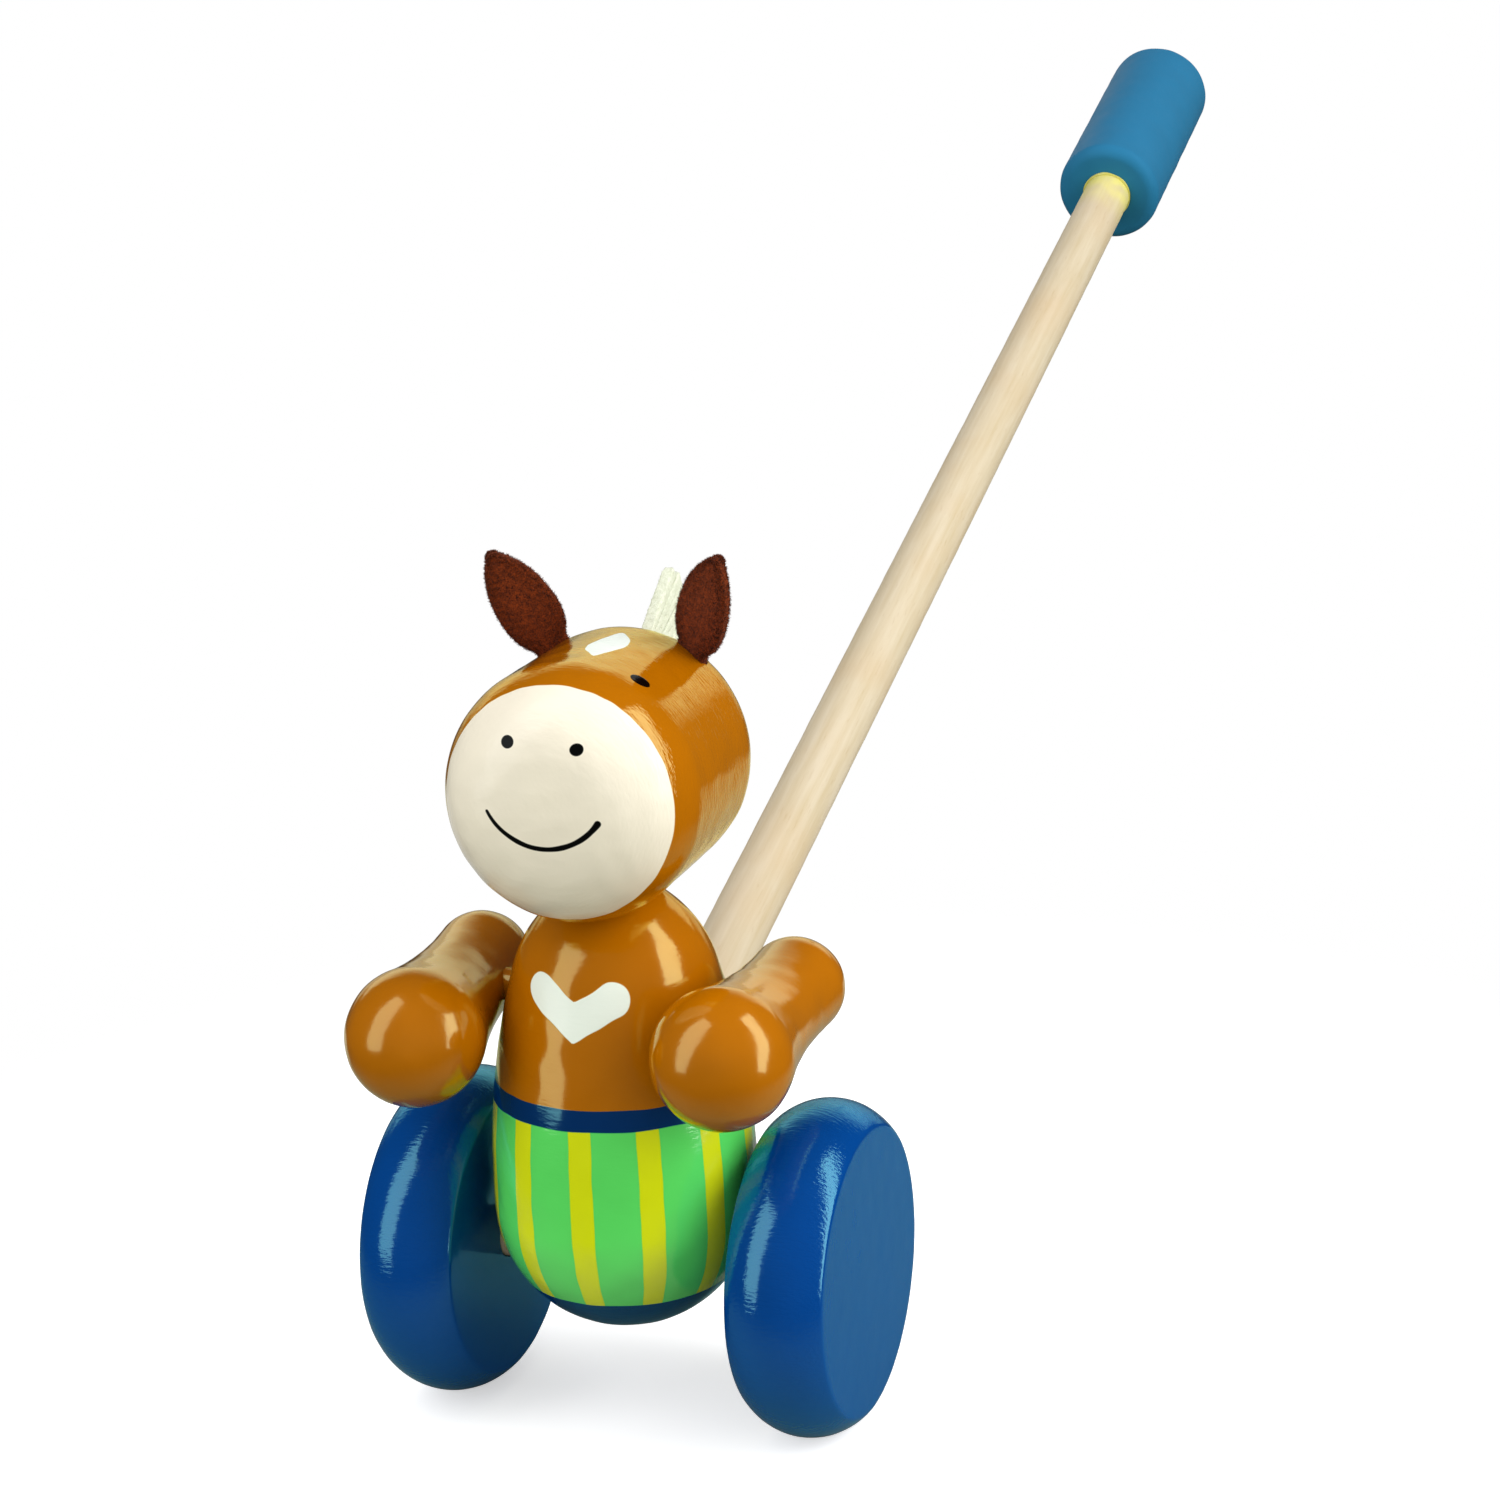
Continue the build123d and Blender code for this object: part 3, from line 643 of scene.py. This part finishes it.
tip_turn = np.arctan2(upper_edge[touch, 1] - tip_centre, upper_edge[touch, 0])
tip_turn = np.linspace(tip_turn, np.radians(88), 14)
lower_edge = [(root_half, root_top), (0.85 * half, 0.5 * widest), (half, 0.7 * widest), (half, widest)]
ear_edge = np.vstack(
    [
        np.linspace((root_half, -EAR_TAB), (root_half, root_top), 16)[:-1],
        bezier(lower_edge, np.linspace(0, 1, 34))[:-1],
        upper_edge[np.linspace(0, touch, 48).astype(int)][:-1],
        np.stack([EAR_TIP * np.cos(tip_turn), tip_centre + EAR_TIP * np.sin(tip_turn)], 1),
    ]
)
ear_section = superellipse(corners=96, power=4.5)
brown_felt = wool_felt("brown_wool_felt", dark="#2A0B04", light="#88380D", sheen=0.05)
for side, node in ((1, "left_ear"), (-1, "right_ear")):
    reach = HEAD_RADIUS - EAR_SUNK
    root = np.array([reach * np.sin(EAR_ROUND_HEAD), EAR_BEHIND_NECK, reach * np.cos(EAR_ROUND_HEAD)])
    upward = np.array(
        [np.sin(EAR_SPLAY) * np.cos(EAR_LEAN), -np.sin(EAR_LEAN), np.cos(EAR_SPLAY) * np.cos(EAR_LEAN)]
    )
    level = np.cross([0, -1, 0], upward)
    level /= np.linalg.norm(level)
    wide = level * np.cos(EAR_TWIST) - np.cross(upward, level) * np.sin(EAR_TWIST)
    thick = np.cross(wide, upward)
    sections = (
        ear_edge[:, 0, None, None] * ear_section[:, :1] * wide
        + FELT_THICKNESS / 2 * ear_section[:, 1:] * thick
        + ear_edge[:, 1, None, None] * upward
        + root
    )
    to_frame = np.stack([side * leftward, -ahead, [0, 0, 1]])
    sections = sections @ to_frame + head_centre
    if side > 0:
        sections = sections[:, ::-1]
    ear = slab(node + "_felt", sections, relief=0.07, fibres=9000, fibre_length=0.65, seed=31 + side)
    ear.data.materials.append(brown_felt)
    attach(ear, "figure")
    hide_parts(node)


# Mane: a strip of 3 mm ivory felt, slit into square-ended locks and glued on edge into a saw cut
# round the nape, so that the locks fan out behind the head. No two locks are quite alike.
MANE_DEPTH, MANE_END_DEPTH, MANE_ROOT = 31.0, 24.5, 4.0
MANE_FRONT, MANE_BACK, MANE_LOCKS = 146.0, 206.0, 14  # degrees round the nape, and a count
LOCK_FILL = 0.98  # how much of its share of the fan a lock takes up
LOCK_TRIM, LOCK_SWAY, LOCK_SWING = (-0.6, 0.3), 0.9, 0.5

mane_step = (MANE_BACK - MANE_FRONT) / MANE_LOCKS
lock_section = superellipse(corners=40, power=5)
ivory_felt = wool_felt("ivory_wool_felt", dark="#CCD1B6", light="#E8EBD9", sheen=0.1)
dice = np.random.default_rng(41)
for lock in range(MANE_LOCKS):
    middle = MANE_FRONT + (lock + 0.5) * mane_step
    from_middle = 2 * (middle - (MANE_FRONT + MANE_BACK) / 2) / (MANE_BACK - MANE_FRONT)
    depth = MANE_DEPTH - (MANE_DEPTH - MANE_END_DEPTH) * from_middle**4 + dice.uniform(*LOCK_TRIM)
    share = np.linspace(0, 1, 60)
    reach = NAPE_CORNER - MANE_ROOT + share * (depth + MANE_ROOT)
    blunt = np.minimum(1, (1.02 - share) / 0.06) ** 0.3  # rounds off the last twentieth
    sway = dice.uniform(-LOCK_SWAY, LOCK_SWAY) * share**2
    swing = np.radians(middle + dice.uniform(-LOCK_SWING, LOCK_SWING) * share)
    out = np.stack([np.cos(swing), np.sin(swing)], 1)
    beside = np.stack([-out[:, 1], out[:, 0]], 1)
    half_gap = reach * np.radians(mane_step / 2) * LOCK_FILL * blunt
    fan = out[:, None] * reach[:, None, None]
    fan = fan + half_gap[:, None, None] * lock_section[:, :1] * beside[:, None]
    fan = fan + [nape_along, nape_out]
    sideways = sway[:, None] + FELT_THICKNESS / 2 * blunt[:, None] * lock_section[:, 1]
    sections = fan[..., :1] * ahead + sideways[..., None] * leftward + fan[..., 1:] * [0, 0, 1] + head_centre
    piece = slab(
        f"mane_lock_{lock + 1}", sections, relief=0.06, fibres=500, fibre_length=0.7, seed=50 + lock
    )
    piece.data.materials.append(ivory_felt)
    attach(piece, "figure")
    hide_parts("mane")


# Arms: turned pegs with a round hand and a smaller round tail, dipped tan. Each has a blind hole
# across it and is glued on one end of the shoulder axle, so that both arms swing together. The axle
# is a dowel dipped in the same lacquer.
HAND_RADIUS, TAIL_RADIUS, WAIST_RADIUS = 16.4, 11.9, 120.0
HAND_REACH, TAIL_REACH, ARM_GAP = 30.1, 11.8, 1.6
ARM_TOE_IN, LEFT_DROOP, RIGHT_DROOP = np.radians([3.0, 4.2, 7.1])

to_hand, to_tail = HAND_RADIUS + WAIST_RADIUS, TAIL_RADIUS + WAIST_RADIUS
arm_span = HAND_REACH + TAIL_REACH
waist_back = (to_hand**2 - to_tail**2 + arm_span**2) / (2 * arm_span)
waist_out = np.sqrt(to_hand**2 - waist_back**2)
waist_along = HAND_REACH - waist_back
hand_start = np.degrees(np.arctan2(waist_out, -waist_back))
tail_end = np.degrees(np.arctan2(waist_out, waist_along + TAIL_REACH))
arm_profile = soften(
    [
        arc((-TAIL_REACH, 0), TAIL_RADIUS, 180, tail_end),
        arc((waist_along, waist_out), WAIST_RADIUS, tail_end - 180, hand_start - 180),
        arc((HAND_REACH, 0), HAND_RADIUS, hand_start, 0),
    ],
    rounding=0.2,
    ring_gap=0.8,
)
arm_half = waist_out - np.sqrt(WAIST_RADIUS**2 - waist_along**2)
axle_above_taper = joint_at["arm_swing"][2] - taper_z
flank = belly_radius - flank_curve + np.sqrt(flank_curve**2 - axle_above_taper**2)
arm_x = flank + ARM_GAP + arm_half
# The arms' lacquer has a stronger clear coat, which greys their tops where they are seen at a slant
tan_lacquer = gloss_lacquer(
    "tan_gloss_lacquer",
    roughness=0.16,
    grain=(0.25, 1, 0.25),
    comb=0.00002,
    shine=WARM_SHINE,
    colour=TAN,
    ior=1.8,
    coat_ior=1.2,
)
frame["nodes"]["shoulder_axle"].data.materials.clear()
frame["nodes"]["shoulder_axle"].data.materials.append(tan_lacquer)
for side, node, droop in ((1, "left_arm", LEFT_DROOP), (-1, "right_arm", RIGHT_DROOP)):
    pointing = np.array(
        [-side * np.sin(ARM_TOE_IN) * np.cos(droop), -np.cos(ARM_TOE_IN) * np.cos(droop), -np.sin(droop)]
    )
    shoulder = joint_at["arm_swing"] + [side * arm_x, 0, 0]
    arm = turned(node + "_lacquered", arm_profile, shoulder, pointing, facets=200, seed=61 + side)
    arm.data.materials.append(tan_lacquer)
    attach(arm, "arms")
    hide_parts(node)


# Push stick: a bare 16 mm dowel with chamfered ends, glued into the torso's back at the lower end
# and into the grip at the upper end, where yellow glue has soaked into the wood.
STICK_LENGTH, STICK_RADIUS, STICK_CHAMFER = 568.0, 8.0, 1.0
GRIP_LENGTH, GRIP_SOCKET_DEPTH = 88.0, 63.5
GLUE_SOAK, GLUE_FALL, GLUE_UNEVEN = 24.0, 1.4, 0.15

grip_mount = next(m for m in frame["record"]["mounts"] if m["name"] == "handle_grip")
stick_along = np.array(grip_mount["axis"])
grip_middle = 1000 * np.array(grip_mount["pos_m"])
grip_mouth = grip_middle - GRIP_LENGTH / 2 * stick_along
stick_foot = grip_mouth - (STICK_LENGTH - GRIP_SOCKET_DEPTH) * stick_along
stick_profile = soften(
    [
        [(0, 0), (0, STICK_RADIUS - STICK_CHAMFER), (STICK_CHAMFER, STICK_RADIUS)],
        [(STICK_LENGTH - STICK_CHAMFER, STICK_RADIUS), (STICK_LENGTH, STICK_RADIUS - STICK_CHAMFER)],
        [(STICK_LENGTH, 0)],
    ],
    rounding=0.2,
    ring_gap=2.0,
)
stick = turned("push_stick_sanded", stick_profile, stick_foot, stick_along, facets=128, wave=0.02, seed=71)
stick_rise = np.arctan2(stick_along[2], stick_along[1])
below_mouth = (grip_mouth - points_of(stick)) @ stick_along
soaked = np.clip(1 - below_mouth / GLUE_SOAK, 0, 1) ** GLUE_FALL
soaked *= 1 - GLUE_UNEVEN + GLUE_UNEVEN * ripple(points_of(stick), wavelength=6, seed=72)
keep_on_points(stick, "glue_soak", np.clip(soaked, 0, 1))
stick.data.materials.append(bare_wood("sanded_beech_stick", (0, -stick_rise, np.pi / 2), "glue_soak"))
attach(stick, "figure")
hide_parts("push_stick")


# Grip: a turned wooden cylinder with rounded ends and a blind hole for the stick, painted in a satin
# blue that shows no clear reflections, only a broad bluish sheen.
GRIP_EDGE, MOUTH_CHAMFER = 4.0, 0.5
GLUE_ROOM = 0.05

grip_radius = grip_mount["dims"]["r_mm"]
grip_socket = STICK_RADIUS + GLUE_ROOM
grip_profile = soften(
    [
        [(GRIP_SOCKET_DEPTH, 0), (GRIP_SOCKET_DEPTH, grip_socket)],
        [(MOUTH_CHAMFER, grip_socket), (0, grip_socket + MOUTH_CHAMFER)],
        arc((GRIP_EDGE, grip_radius - GRIP_EDGE), GRIP_EDGE, 180, 90),
        arc((GRIP_LENGTH - GRIP_EDGE, grip_radius - GRIP_EDGE), GRIP_EDGE, 90, 0),
        [(GRIP_LENGTH, 0)],
    ],
    rounding=0.15,
    ring_gap=1.5,
)
grip = turned("handle_grip_painted", grip_profile, grip_mouth, stick_along, facets=200, seed=81)
blue_satin = gloss_lacquer(
    "blue_satin_paint",
    roughness=0.55,
    grain=(1, 0.2, 0.3),
    comb=0.00001,
    shine=CLEAR_SHINE,
    colour="#256E95",
    ior=1.3,
)
satin_shader = blue_satin.node_tree.nodes["Principled BSDF"]
satin_shader.inputs["Coat Weight"].default_value = 0.0
satin_shader.inputs["Specular Tint"].default_value = linear("#9ADCFF")
grip.data.materials.append(blue_satin)
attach(grip, "figure")
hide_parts("handle_grip")


# Glue bead: yellow wood glue that was squeezed out when the stick was pushed into the grip, and
# dried glossy in an uneven ring at the hole's mouth.
BEAD_RADIUS, BEAD_OUT, BEAD_SUNK = 0.5, 0.15, 0.1
BEAD_UNEVEN, BEAD_FLATTENED = 0.35, 0.8

bead_turn = np.linspace(0, 2 * np.pi, 120, endpoint=False)
bead_round = np.linspace(0, 2 * np.pi, 16, endpoint=False)
bead_side = np.array([1.0, 0, 0])
bead_up = np.cross(stick_along, bead_side)
bead_spokes = np.cos(bead_turn)[:, None] * bead_side + np.sin(bead_turn)[:, None] * bead_up
bead_swell = BEAD_RADIUS * (1 + BEAD_UNEVEN * ripple(STICK_RADIUS * bead_spokes, wavelength=9, seed=82))
bead_out = STICK_RADIUS + BEAD_OUT + bead_swell[:, None] * np.cos(bead_round)
bead_along = -BEAD_SUNK - BEAD_FLATTENED * bead_swell[:, None] * np.sin(bead_round)
bead_points = bead_out[..., None] * bead_spokes[:, None] + bead_along[..., None] * stick_along + grip_mouth
number = np.arange(bead_out.size).reshape(bead_out.shape)
after, beside = np.roll(number, -1, 0), np.roll(number, -1, 1)
bead_faces = np.stack([number, after, np.roll(after, -1, 1), beside], -1).reshape(-1, 4)
glue = mesh_piece("grip_glue_bead", bead_points.reshape(-1, 3), [bead_faces])
glue.data.materials.append(
    gloss_lacquer(
        "dried_wood_glue",
        roughness=0.3,
        grain=(1, 1, 1),
        comb=0.00002,
        shine=CLEAR_SHINE,
        colour="#C9C25A",
    )
)
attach(glue, "figure")


# Studio: a white table and a white backdrop behind the toy, with a dark gap between them to the
# right, two tall softboxes in front at either hand, a small lamp at the right that lights but isn't
# mirrored, soft fill from the front, and a camera at the photograph's place. Lengths are in metres.
CAMERA_AT = (0.2884057, -0.6624498, 0.3494580)
CAMERA_RIGHT = (0.93619808, 0.34919403, -0.03995853)
CAMERA_UP = (-0.0513872, 0.24845683, 0.96727895)
CAMERA_LENS, CAMERA_SENSOR, CAMERA_FAR = 76.987, 36, 100
LIT_POINT = np.array([0, -0.01, 0.11])
LAMP_DISTANCE = 1.2
LAMPS = (  # turn, lift and roll in degrees, width and height in metres, power in watts
    ("left_softbox", -43, 31, 0, 0.6, 2.0, 8.6),
    ("right_softbox", 96, 25, -22, 0.42, 1.8, 9.4),
    ("side_lamp", 92, 28, 0, 0.5, 0.7, 5.5),
)
WHITE = linear("#FFFFFF")
SWEEP_AXIS = (-0.359, 0.933, 0.0)
# Where each part of the room starts and is full, as a height or a cosine of a direction
BACKDROP_LOW, BACKDROP_FULL = 0.15, 0.2
TABLE_HIGH, TABLE_FULL, TABLE_WHITE = -0.21, -0.26, 0.5
WINGS_START, WINGS_FULL = 0.71, 0.8
CORE_START, CORE_FULL, CORE_LOW, CORE_HIGH, CORE_WHITE = 0.82, 0.88, -0.12, -0.02, 0.5
DIM_START, DIM_END, DIM_FROM, DIM_TO = 0.38, 0.62, 1.1, 0.25
ROOM_DARK = 0.05
FILL_AXIS, FILL_BEHIND, FILL_AHEAD = (0.4, -0.92, 0.0), 0.34, 0.98
BELOW, LEVEL, FILL_BELOW, BELOW_TINT = -0.4, 0.1, 0.25, "#F2FFC4"
FLOOR_CENTRE, FLOOR_FADE_START, FLOOR_FADE_END = (0, 0.1, 0), 0.13, 0.3
FLOOR_CORNERS, FLOOR_GLOW = 96, 0.5


def place_at(item, right, upright, back, centre):
    """Link an object at a place: its axes X, Y, Z and its centre are the columns of its matrix."""
    pose = np.eye(4)
    pose[:3] = np.stack([right, upright, back, centre], 1)
    item.matrix_world = pose.T.tolist()
    bpy.context.scene.collection.objects.link(item)


camera = bpy.data.objects.new("camera", bpy.data.cameras.new("camera"))
place_at(camera, CAMERA_RIGHT, CAMERA_UP, np.cross(CAMERA_RIGHT, CAMERA_UP), CAMERA_AT)
camera.data.lens = CAMERA_LENS
camera.data.sensor_width = CAMERA_SENSOR
camera.data.clip_end = CAMERA_FAR
bpy.context.scene.camera = camera

for name, turn, lift, roll, width, height, power in LAMPS:
    turn, lift, roll = np.radians([turn, lift, roll])
    towards = np.array([np.sin(turn) * np.cos(lift), -np.cos(turn) * np.cos(lift), np.sin(lift)])
    level = np.cross([0, 0, 1], towards)
    level /= np.linalg.norm(level)
    across = np.cos(roll) * level + np.sin(roll) * np.cross(towards, level)
    lamp = bpy.data.objects.new(name, bpy.data.lights.new(name, "AREA"))
    lamp.data.shape = "RECTANGLE"
    lamp.data.size, lamp.data.size_y = width, height
    lamp.data.energy = power
    lamp.visible_glossy = name.endswith("softbox")
    place_at(lamp, across, np.cross(towards, across), towards, LIT_POINT + LAMP_DISTANCE * towards)

# The room: pure white to the camera and through clear things, a white sweep with dark gaps in
# reflections, and for all else a fill that is stronger in front, weaker and yellower from below
world = bpy.data.worlds.new("white_sweep")
bpy.context.scene.world = world
world.use_nodes = True
tree = world.node_tree
tree.nodes.clear()
direction = add(tree, "TexCoord").outputs["Generated"]
behind = add(tree, "VectorMath", {0: direction, 1: SWEEP_AXIS}, operation="DOT_PRODUCT").outputs["Value"]
height = add(tree, "SeparateXYZ", {0: direction}).outputs["Z"]
backdrop = {"Value": height, "From Min": BACKDROP_LOW, "From Max": BACKDROP_FULL}
backdrop = add(tree, "MapRange", backdrop).outputs[0]
table = {"Value": height, "From Min": TABLE_HIGH, "From Max": TABLE_FULL, "To Max": TABLE_WHITE}
table = add(tree, "MapRange", table).outputs[0]
sides = {"Value": behind, "From Min": WINGS_START, "From Max": WINGS_FULL}
sides = add(tree, "MapRange", sides, interpolation_type="SMOOTHSTEP").outputs[0]
wings = add(tree, "Math", {0: backdrop, 1: table}, operation="ADD").outputs[0]
wings = add(tree, "Math", {0: wings, 1: sides}, operation="MULTIPLY").outputs[0]
core = {"Value": behind, "From Min": CORE_START, "From Max": CORE_FULL, "To Max": CORE_WHITE}
core = add(tree, "MapRange", core, interpolation_type="SMOOTHSTEP").outputs[0]
above = {"Value": height, "From Min": CORE_LOW, "From Max": CORE_HIGH}
above = add(tree, "MapRange", above).outputs[0]
core = add(tree, "Math", {0: core, 1: above}, operation="MULTIPLY").outputs[0]
white_part = add(tree, "Math", {0: core, 1: wings}, operation="MAXIMUM").outputs[0]
dimming = {"Value": height, "From Min": DIM_START, "From Max": DIM_END, "To Min": DIM_FROM, "To Max": DIM_TO}
dimming = add(tree, "MapRange", dimming).outputs[0]
mirrored = add(tree, "Math", {0: white_part, 1: dimming}, operation="MULTIPLY").outputs[0]
mirrored = add(tree, "Math", {0: mirrored, 1: ROOM_DARK}, operation="MAXIMUM").outputs[0]
fill = add(tree, "VectorMath", {0: direction, 1: FILL_AXIS}, operation="DOT_PRODUCT").outputs["Value"]
fill = {"Value": fill, "From Min": -1.0, "To Min": FILL_BEHIND, "To Max": FILL_AHEAD}
fill = add(tree, "MapRange", fill).outputs[0]
from_above = {"Value": height, "From Min": BELOW, "From Max": LEVEL, "To Min": FILL_BELOW}
from_above = add(tree, "MapRange", from_above).outputs[0]
fill = add(tree, "Math", {0: fill, 1: from_above}, operation="MULTIPLY").outputs[0]
ray = add(tree, "LightPath").outputs
room = add(tree, "Mix", {0: ray["Is Glossy Ray"], 2: fill, 3: mirrored}).outputs[0]
seen = {0: ray["Is Camera Ray"], 1: ray["Is Transmission Ray"]}
seen = add(tree, "Math", seen, operation="MAXIMUM").outputs[0]
strength = add(tree, "Mix", {0: seen, 2: room, 3: 1.0}).outputs[0]
under = add(tree, "MapRange", {"Value": height, "From Min": LEVEL, "From Max": BELOW}).outputs[0]
bounce = {0: under, 6: WHITE, 7: linear(BELOW_TINT)}
bounce = add(tree, "Mix", bounce, data_type="RGBA").outputs[2]
untinted = {0: seen, 1: ray["Is Glossy Ray"]}
untinted = add(tree, "Math", untinted, operation="MAXIMUM").outputs[0]
tint = add(tree, "Mix", {0: untinted, 6: bounce, 7: WHITE}, data_type="RGBA").outputs[2]
light = add(tree, "Background", {"Color": tint, "Strength": strength})
add(tree, "OutputWorld", {"Surface": light.outputs[0]})

# The floor: matt paper that the camera sees almost white and that fades out round the toy's shadow
floor_turn = np.linspace(0, 2 * np.pi, FLOOR_CORNERS, endpoint=False)
rim = FLOOR_CENTRE + FLOOR_FADE_END * np.stack([np.cos(floor_turn), np.sin(floor_turn), 0 * floor_turn], 1)
floor_mesh = bpy.data.meshes.new("floor")
floor_mesh.from_pydata(rim, [], [list(range(FLOOR_CORNERS))])
floor = bpy.data.objects.new("floor", floor_mesh)
bpy.context.scene.collection.objects.link(floor)
paper, tree, shader = new_material("white_paper_sweep")
seen = add(tree, "LightPath").outputs["Is Camera Ray"]
paper_white = {0: seen, 6: linear("#8E8E8C"), 7: linear("#FAFAFA")}
paper_white = add(tree, "Mix", paper_white, data_type="RGBA").outputs[2]
tree.links.new(paper_white, shader.inputs["Base Color"])
lift = add(tree, "MapRange", {"Value": seen, "To Max": FLOOR_GLOW}).outputs[0]
tree.links.new(lift, shader.inputs["Emission Strength"])
shader.inputs["Emission Color"].default_value = WHITE
shader.inputs["Roughness"].default_value = 0.9
shader.inputs["Specular IOR Level"].default_value = 0.1
place = add(tree, "TexCoord").outputs["Object"]
away = add(tree, "VectorMath", {0: place, 1: FLOOR_CENTRE}, operation="DISTANCE").outputs["Value"]
fade = {"Value": away, "From Min": FLOOR_FADE_START, "From Max": FLOOR_FADE_END}
fade = add(tree, "MapRange", fade, interpolation_type="SMOOTHSTEP").outputs[0]
clear = add(tree, "BsdfTransparent").outputs[0]
spread = add(tree, "MixShader", {0: fade, 1: shader.outputs[0], 2: clear})
tree.links.new(spread.outputs[0], tree.nodes["Material Output"].inputs["Surface"])
floor_mesh.materials.append(paper)

bpy.context.scene.view_settings.view_transform = "Standard"
